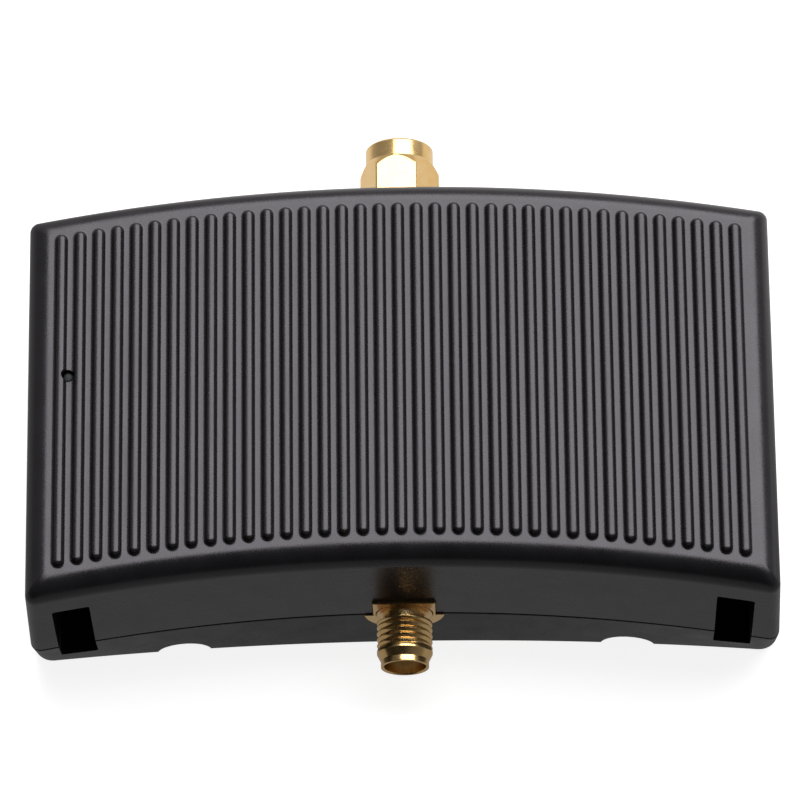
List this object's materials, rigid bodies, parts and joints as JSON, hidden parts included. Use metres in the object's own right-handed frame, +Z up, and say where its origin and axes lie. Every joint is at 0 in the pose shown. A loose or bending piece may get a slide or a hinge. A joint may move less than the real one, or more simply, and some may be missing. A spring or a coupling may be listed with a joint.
{
  "type": "cellular signal booster",
  "caption": "Slim curved in-line radio booster with a ribbed heat-sink cover, a coaxial socket at the front and a coaxial plug with a turning nut at the back.",
  "frame": {"origin": "middle of the flat underside, midway between the side walls", "axes": "+X along the width, -Y towards the socket at the front, +Y towards the plug at the back, +Z up through the ribs"},
  "size_m": [0.0846, 0.0633, 0.0254],
  "materials": {
    "cover_black": "satin black paint on a die-cast heat sink",
    "base_black": "fine matt black moulding",
    "gold_plate": "polished gold plating on brass",
    "ptfe": "white PTFE dielectric",
    "gasket": "silicone rubber",
    "board": "green solder mask",
    "chip_black": "black moulded plastic",
    "tin": "tin plated sheet",
    "steel": "zinc plated steel",
    "thermal_pad": "grey filled silicone",
    "filter_body": "glazed dielectric filter block",
    "clear": "clear moulding"
  },
  "bodies": {
    "case": {"top_cover": "cover_black", "bottom_cover": "base_black", "circuit_board": "board", "jack_body": "gold_plate", "jack_insulator": "ptfe", "jack_contact": "gold_plate", "jack_collar": "gold_plate", "plug_body": "gold_plate", "plug_insulator": "ptfe", "plug_pin": "gold_plate", "plug_gasket": "gasket", "plug_nut": "gold_plate", "plug_washer": "gold_plate", "retaining_ring": "steel", "power_jack": "chip_black", "power_jack_pin": "tin", "power_jack_spring": "tin", "status_led": "clear", "light_pipe": "clear", "power_amplifier_uplink": "chip_black", "thermal_pad_uplink": "thermal_pad", "shield_can_uplink": "tin", "gain_stage_uplink": "chip_black", "power_amplifier_downlink": "chip_black", "thermal_pad_downlink": "thermal_pad", "shield_can_downlink": "tin", "gain_stage_downlink": "chip_black", "duplexer_front": "filter_body", "duplexer_back": "filter_body", "control_chip": "chip_black", "voltage_regulator": "chip_black", "power_inductor": "chip_black", "input_capacitor": "tin", "output_capacitor": "tin", "case_screw_1": "steel", "case_screw_2": "steel", "case_screw_3": "steel", "case_screw_4": "steel", "board_screw_1": "steel", "board_screw_2": "steel", "board_screw_3": "steel", "board_screw_4": "steel"},
    "coupling_nut": {"coupling_nut": "gold_plate"}
  },
  "joints": [
    {"name": "coupling_nut_spin", "type": "hinge", "parent": "case", "child": "coupling_nut", "pos_m": [0, 0.0293, 0.0092], "axis": [0, 1, 0], "continuous": true}
  ]
}
